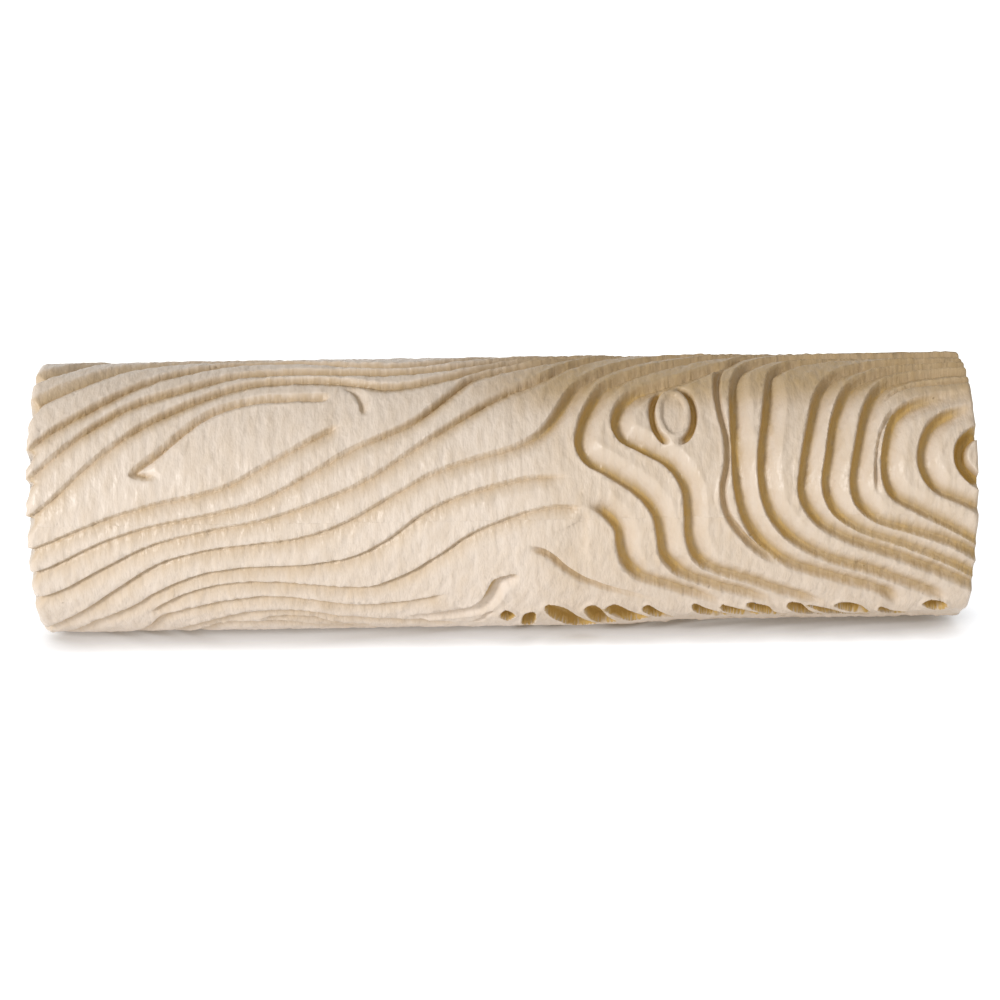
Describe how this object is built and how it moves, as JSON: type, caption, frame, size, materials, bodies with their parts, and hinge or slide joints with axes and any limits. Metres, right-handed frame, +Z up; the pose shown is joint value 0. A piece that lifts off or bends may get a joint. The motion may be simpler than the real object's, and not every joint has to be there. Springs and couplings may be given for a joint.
{
  "type": "textured pattern roller",
  "caption": "Cream rubber roller sleeve with raised wood-grain relief, on a core with capped ends and bushes, turning freely on a hollow steel axle tube.",
  "frame": {"origin": "centre of the roller, on its axis halfway between the two ends", "axes": "+X along the roller's axis to the right of the picture, -Y towards the camera, +Z up"},
  "size_m": [0.178, 0.0528, 0.0528],
  "materials": {
    "pattern_sleeve": "soft satin, moulded",
    "core_tube": "matt",
    "end_cap": "satin, moulded",
    "bearing_bush": "satin, natural nylon",
    "axle_tube": "drawn, bright zinc",
    "thrust_washer": "stamped, bright zinc",
    "retaining_ring": "phosphated spring steel"
  },
  "bodies": {
    "axle": {"axle_tube": "axle_tube", "thrust_washer_left": "thrust_washer", "thrust_washer_right": "thrust_washer", "retaining_ring_left": "retaining_ring", "retaining_ring_right": "retaining_ring"},
    "roller": {"pattern_sleeve": "pattern_sleeve", "core_tube": "core_tube", "end_cap_left": "end_cap", "end_cap_right": "end_cap", "bearing_bush_left": "bearing_bush", "bearing_bush_right": "bearing_bush"}
  },
  "joints": [
    {"name": "roller_spin", "type": "hinge", "parent": "axle", "child": "roller", "pos_m": [0, 0, 0], "axis": [1, 0, 0], "continuous": true}
  ]
}
